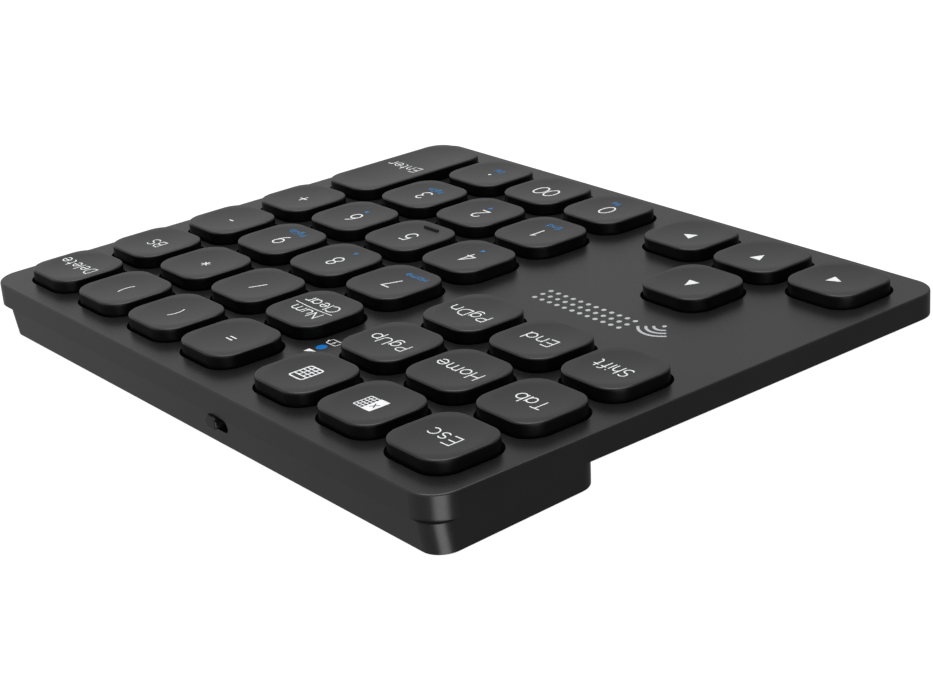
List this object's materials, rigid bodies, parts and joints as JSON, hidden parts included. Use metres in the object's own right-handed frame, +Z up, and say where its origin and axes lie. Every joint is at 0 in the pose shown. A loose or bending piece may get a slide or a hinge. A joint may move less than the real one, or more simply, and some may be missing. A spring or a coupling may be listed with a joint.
{
  "type": "numeric keypad",
  "caption": "Slim free-standing numeric keypad with scissor keys, a rear wedge block, a slide power switch and a charge port.",
  "frame": {"origin": "bottom centre of the bounding box, on the table plane under the feet", "axes": "+X to the user's right, +Y away from the user, +Z up; the deck rakes 2.0 degrees up towards +Y"},
  "size_m": [0.1456, 0.1178, 0.0129],
  "materials": {
    "case": "fine matte moulded ABS, near black",
    "keycap": "satin moulded keycap, near black",
    "legend_white": "printed white legend",
    "legend_blue": "printed blue secondary legend",
    "plate_steel": "zinc-plated sheet",
    "membrane": "clear polyester sheet",
    "membrane_print": "polyester sheet with printed silver tracks",
    "dome_rubber": "translucent silicone",
    "scissor": "natural acetal",
    "wire_steel": "drawn spring wire",
    "board": "green solder mask",
    "chip": "black epoxy package",
    "cell_foil": "embossed pouch foil",
    "lead": "insulated lead and plug",
    "port_shell": "stamped stainless shell",
    "switch_shell": "stamped shell",
    "knob": "matte black",
    "led": "surface-mount lamp",
    "light_pipe": "blue-tinted acrylic",
    "connector": "natural nylon",
    "screw_steel": "black zinc",
    "foot_rubber": "black silicone"
  },
  "bodies": {
    "case": {"battery_cell": "cell_foil", "battery_lead": "lead", "board_screws": "screw_steel", "bottom_case": "case", "case_screws": "screw_steel", "charge_port": "port_shell", "controller_board": "board", "controller_chip": "chip", "front_feet": "foot_rubber", "led_light_pipe": "light_pipe", "membrane_bottom_sheet": "membrane_print", "membrane_spacer_sheet": "membrane", "membrane_tail_connector": "connector", "membrane_top_sheet": "membrane", "power_switch_body": "switch_shell", "rear_feet": "foot_rubber", "rubber_domes": "dome_rubber", "scissor_inner_frames": "scissor", "scissor_outer_frames": "scissor", "status_led": "led", "support_plate": "plate_steel", "top_case": "case"},
    "key_0": {"key_0": "keycap"},
    "key_00": {"key_00": "keycap"},
    "key_1": {"key_1": "keycap"},
    "key_2": {"key_2": "keycap"},
    "key_3": {"key_3": "keycap"},
    "key_4": {"key_4": "keycap"},
    "key_5": {"key_5": "keycap"},
    "key_6": {"key_6": "keycap"},
    "key_7": {"key_7": "keycap"},
    "key_8": {"key_8": "keycap"},
    "key_9": {"key_9": "keycap"},
    "key_app_a": {"key_app_a": "keycap"},
    "key_app_b": {"key_app_b": "keycap"},
    "key_arrow_down": {"key_arrow_down": "keycap"},
    "key_arrow_left": {"key_arrow_left": "keycap"},
    "key_arrow_right": {"key_arrow_right": "keycap"},
    "key_arrow_up": {"key_arrow_up": "keycap"},
    "key_backspace": {"key_backspace": "keycap"},
    "key_decimal": {"key_decimal": "keycap"},
    "key_delete": {"key_delete": "keycap"},
    "key_divide": {"key_divide": "keycap"},
    "key_end": {"key_end": "keycap"},
    "key_enter": {"key_enter": "keycap"},
    "key_equals": {"key_equals": "keycap"},
    "key_esc": {"key_esc": "keycap"},
    "key_home": {"key_home": "keycap"},
    "key_minus": {"key_minus": "keycap"},
    "key_multiply": {"key_multiply": "keycap"},
    "key_num_clear": {"key_num_clear": "keycap"},
    "key_page_down": {"key_page_down": "keycap"},
    "key_page_up": {"key_page_up": "keycap"},
    "key_paren_close": {"key_paren_close": "keycap"},
    "key_paren_open": {"key_paren_open": "keycap"},
    "key_plus": {"key_plus": "keycap"},
    "key_shift": {"key_shift": "keycap"},
    "key_tab": {"key_tab": "keycap"},
    "stabiliser_wire": {"enter_stabiliser_wire": "wire_steel"},
    "switch_knob": {"power_switch_knob": "knob"}
  },
  "joints": [
    {"name": "key_0_press", "type": "slide", "parent": "case", "child": "key_0", "axis": [0, 0.0349, -0.9994], "range_m": [0, 0.0018], "stiffness_N_per_m": 60, "springref_m": -0.005, "deforming": ["rubber_domes", "scissor_outer_frames", "scissor_inner_frames"]},
    {"name": "key_00_press", "type": "slide", "parent": "case", "child": "key_00", "axis": [0, 0.0349, -0.9994], "range_m": [0, 0.0018], "stiffness_N_per_m": 60, "springref_m": -0.005, "deforming": ["rubber_domes", "scissor_outer_frames", "scissor_inner_frames"]},
    {"name": "key_1_press", "type": "slide", "parent": "case", "child": "key_1", "axis": [0, 0.0349, -0.9994], "range_m": [0, 0.0018], "stiffness_N_per_m": 60, "springref_m": -0.005, "deforming": ["rubber_domes", "scissor_outer_frames", "scissor_inner_frames"]},
    {"name": "key_2_press", "type": "slide", "parent": "case", "child": "key_2", "axis": [0, 0.0349, -0.9994], "range_m": [0, 0.0018], "stiffness_N_per_m": 60, "springref_m": -0.005, "deforming": ["rubber_domes", "scissor_outer_frames", "scissor_inner_frames"]},
    {"name": "key_3_press", "type": "slide", "parent": "case", "child": "key_3", "axis": [0, 0.0349, -0.9994], "range_m": [0, 0.0018], "stiffness_N_per_m": 60, "springref_m": -0.005, "deforming": ["rubber_domes", "scissor_outer_frames", "scissor_inner_frames"]},
    {"name": "key_4_press", "type": "slide", "parent": "case", "child": "key_4", "axis": [0, 0.0349, -0.9994], "range_m": [0, 0.0018], "stiffness_N_per_m": 60, "springref_m": -0.005, "deforming": ["rubber_domes", "scissor_outer_frames", "scissor_inner_frames"]},
    {"name": "key_5_press", "type": "slide", "parent": "case", "child": "key_5", "axis": [0, 0.0349, -0.9994], "range_m": [0, 0.0018], "stiffness_N_per_m": 60, "springref_m": -0.005, "deforming": ["rubber_domes", "scissor_outer_frames", "scissor_inner_frames"]},
    {"name": "key_6_press", "type": "slide", "parent": "case", "child": "key_6", "axis": [0, 0.0349, -0.9994], "range_m": [0, 0.0018], "stiffness_N_per_m": 60, "springref_m": -0.005, "deforming": ["rubber_domes", "scissor_outer_frames", "scissor_inner_frames"]},
    {"name": "key_7_press", "type": "slide", "parent": "case", "child": "key_7", "axis": [0, 0.0349, -0.9994], "range_m": [0, 0.0018], "stiffness_N_per_m": 60, "springref_m": -0.005, "deforming": ["rubber_domes", "scissor_outer_frames", "scissor_inner_frames"]},
    {"name": "key_8_press", "type": "slide", "parent": "case", "child": "key_8", "axis": [0, 0.0349, -0.9994], "range_m": [0, 0.0018], "stiffness_N_per_m": 60, "springref_m": -0.005, "deforming": ["rubber_domes", "scissor_outer_frames", "scissor_inner_frames"]},
    {"name": "key_9_press", "type": "slide", "parent": "case", "child": "key_9", "axis": [0, 0.0349, -0.9994], "range_m": [0, 0.0018], "stiffness_N_per_m": 60, "springref_m": -0.005, "deforming": ["rubber_domes", "scissor_outer_frames", "scissor_inner_frames"]},
    {"name": "key_app_a_press", "type": "slide", "parent": "case", "child": "key_app_a", "axis": [0, 0.0349, -0.9994], "range_m": [0, 0.0018], "stiffness_N_per_m": 60, "springref_m": -0.005, "deforming": ["rubber_domes", "scissor_outer_frames", "scissor_inner_frames"]},
    {"name": "key_app_b_press", "type": "slide", "parent": "case", "child": "key_app_b", "axis": [0, 0.0349, -0.9994], "range_m": [0, 0.0018], "stiffness_N_per_m": 60, "springref_m": -0.005, "deforming": ["rubber_domes", "scissor_outer_frames", "scissor_inner_frames"]},
    {"name": "key_arrow_down_press", "type": "slide", "parent": "case", "child": "key_arrow_down", "axis": [0, 0.0349, -0.9994], "range_m": [0, 0.0018], "stiffness_N_per_m": 60, "springref_m": -0.005, "deforming": ["rubber_domes", "scissor_outer_frames", "scissor_inner_frames"]},
    {"name": "key_arrow_left_press", "type": "slide", "parent": "case", "child": "key_arrow_left", "axis": [0, 0.0349, -0.9994], "range_m": [0, 0.0018], "stiffness_N_per_m": 60, "springref_m": -0.005, "deforming": ["rubber_domes", "scissor_outer_frames", "scissor_inner_frames"]},
    {"name": "key_arrow_right_press", "type": "slide", "parent": "case", "child": "key_arrow_right", "axis": [0, 0.0349, -0.9994], "range_m": [0, 0.0018], "stiffness_N_per_m": 60, "springref_m": -0.005, "deforming": ["rubber_domes", "scissor_outer_frames", "scissor_inner_frames"]},
    {"name": "key_arrow_up_press", "type": "slide", "parent": "case", "child": "key_arrow_up", "axis": [0, 0.0349, -0.9994], "range_m": [0, 0.0018], "stiffness_N_per_m": 60, "springref_m": -0.005, "deforming": ["rubber_domes", "scissor_outer_frames", "scissor_inner_frames"]},
    {"name": "key_backspace_press", "type": "slide", "parent": "case", "child": "key_backspace", "axis": [0, 0.0349, -0.9994], "range_m": [0, 0.0018], "stiffness_N_per_m": 60, "springref_m": -0.005, "deforming": ["rubber_domes", "scissor_outer_frames", "scissor_inner_frames"]},
    {"name": "key_decimal_press", "type": "slide", "parent": "case", "child": "key_decimal", "axis": [0, 0.0349, -0.9994], "range_m": [0, 0.0018], "stiffness_N_per_m": 60, "springref_m": -0.005, "deforming": ["rubber_domes", "scissor_outer_frames", "scissor_inner_frames"]},
    {"name": "key_delete_press", "type": "slide", "parent": "case", "child": "key_delete", "axis": [0, 0.0349, -0.9994], "range_m": [0, 0.0018], "stiffness_N_per_m": 60, "springref_m": -0.005, "deforming": ["rubber_domes", "scissor_outer_frames", "scissor_inner_frames"]},
    {"name": "key_divide_press", "type": "slide", "parent": "case", "child": "key_divide", "axis": [0, 0.0349, -0.9994], "range_m": [0, 0.0018], "stiffness_N_per_m": 60, "springref_m": -0.005, "deforming": ["rubber_domes", "scissor_outer_frames", "scissor_inner_frames"]},
    {"name": "key_end_press", "type": "slide", "parent": "case", "child": "key_end", "axis": [0, 0.0349, -0.9994], "range_m": [0, 0.0018], "stiffness_N_per_m": 60, "springref_m": -0.005, "deforming": ["rubber_domes", "scissor_outer_frames", "scissor_inner_frames"]},
    {"name": "key_enter_press", "type": "slide", "parent": "case", "child": "key_enter", "axis": [0, 0.0349, -0.9994], "range_m": [0, 0.0018], "stiffness_N_per_m": 60, "springref_m": -0.005, "deforming": ["rubber_domes", "scissor_outer_frames", "scissor_inner_frames"]},
    {"name": "key_equals_press", "type": "slide", "parent": "case", "child": "key_equals", "axis": [0, 0.0349, -0.9994], "range_m": [0, 0.0018], "stiffness_N_per_m": 60, "springref_m": -0.005, "deforming": ["rubber_domes", "scissor_outer_frames", "scissor_inner_frames"]},
    {"name": "key_esc_press", "type": "slide", "parent": "case", "child": "key_esc", "axis": [0, 0.0349, -0.9994], "range_m": [0, 0.0018], "stiffness_N_per_m": 60, "springref_m": -0.005, "deforming": ["rubber_domes", "scissor_outer_frames", "scissor_inner_frames"]},
    {"name": "key_home_press", "type": "slide", "parent": "case", "child": "key_home", "axis": [0, 0.0349, -0.9994], "range_m": [0, 0.0018], "stiffness_N_per_m": 60, "springref_m": -0.005, "deforming": ["rubber_domes", "scissor_outer_frames", "scissor_inner_frames"]},
    {"name": "key_minus_press", "type": "slide", "parent": "case", "child": "key_minus", "axis": [0, 0.0349, -0.9994], "range_m": [0, 0.0018], "stiffness_N_per_m": 60, "springref_m": -0.005, "deforming": ["rubber_domes", "scissor_outer_frames", "scissor_inner_frames"]},
    {"name": "key_multiply_press", "type": "slide", "parent": "case", "child": "key_multiply", "axis": [0, 0.0349, -0.9994], "range_m": [0, 0.0018], "stiffness_N_per_m": 60, "springref_m": -0.005, "deforming": ["rubber_domes", "scissor_outer_frames", "scissor_inner_frames"]},
    {"name": "key_num_clear_press", "type": "slide", "parent": "case", "child": "key_num_clear", "axis": [0, 0.0349, -0.9994], "range_m": [0, 0.0018], "stiffness_N_per_m": 60, "springref_m": -0.005, "deforming": ["rubber_domes", "scissor_outer_frames", "scissor_inner_frames"]},
    {"name": "key_page_down_press", "type": "slide", "parent": "case", "child": "key_page_down", "axis": [0, 0.0349, -0.9994], "range_m": [0, 0.0018], "stiffness_N_per_m": 60, "springref_m": -0.005, "deforming": ["rubber_domes", "scissor_outer_frames", "scissor_inner_frames"]},
    {"name": "key_page_up_press", "type": "slide", "parent": "case", "child": "key_page_up", "axis": [0, 0.0349, -0.9994], "range_m": [0, 0.0018], "stiffness_N_per_m": 60, "springref_m": -0.005, "deforming": ["rubber_domes", "scissor_outer_frames", "scissor_inner_frames"]},
    {"name": "key_paren_close_press", "type": "slide", "parent": "case", "child": "key_paren_close", "axis": [0, 0.0349, -0.9994], "range_m": [0, 0.0018], "stiffness_N_per_m": 60, "springref_m": -0.005, "deforming": ["rubber_domes", "scissor_outer_frames", "scissor_inner_frames"]},
    {"name": "key_paren_open_press", "type": "slide", "parent": "case", "child": "key_paren_open", "axis": [0, 0.0349, -0.9994], "range_m": [0, 0.0018], "stiffness_N_per_m": 60, "springref_m": -0.005, "deforming": ["rubber_domes", "scissor_outer_frames", "scissor_inner_frames"]},
    {"name": "key_plus_press", "type": "slide", "parent": "case", "child": "key_plus", "axis": [0, 0.0349, -0.9994], "range_m": [0, 0.0018], "stiffness_N_per_m": 60, "springref_m": -0.005, "deforming": ["rubber_domes", "scissor_outer_frames", "scissor_inner_frames"]},
    {"name": "key_shift_press", "type": "slide", "parent": "case", "child": "key_shift", "axis": [0, 0.0349, -0.9994], "range_m": [0, 0.0018], "stiffness_N_per_m": 60, "springref_m": -0.005, "deforming": ["rubber_domes", "scissor_outer_frames", "scissor_inner_frames"]},
    {"name": "key_tab_press", "type": "slide", "parent": "case", "child": "key_tab", "axis": [0, 0.0349, -0.9994], "range_m": [0, 0.0018], "stiffness_N_per_m": 60, "springref_m": -0.005, "deforming": ["rubber_domes", "scissor_outer_frames", "scissor_inner_frames"]},
    {"name": "stabiliser_wire_swing", "type": "hinge", "parent": "case", "child": "stabiliser_wire", "pos_m": [0.06017, -0.0365, 0.00537], "axis": [0, 0.9994, 0.0349], "range_deg": [0, 18.71]},
    {"name": "power_switch_slide", "type": "slide", "parent": "case", "child": "switch_knob", "axis": [-1, 0, 0], "range_m": [0, 0.0025]}
  ],
  "couplings": [
    {"joint": "stabiliser_wire_swing", "follows": "key_enter_press", "rad_per_m": 181.37}
  ]
}
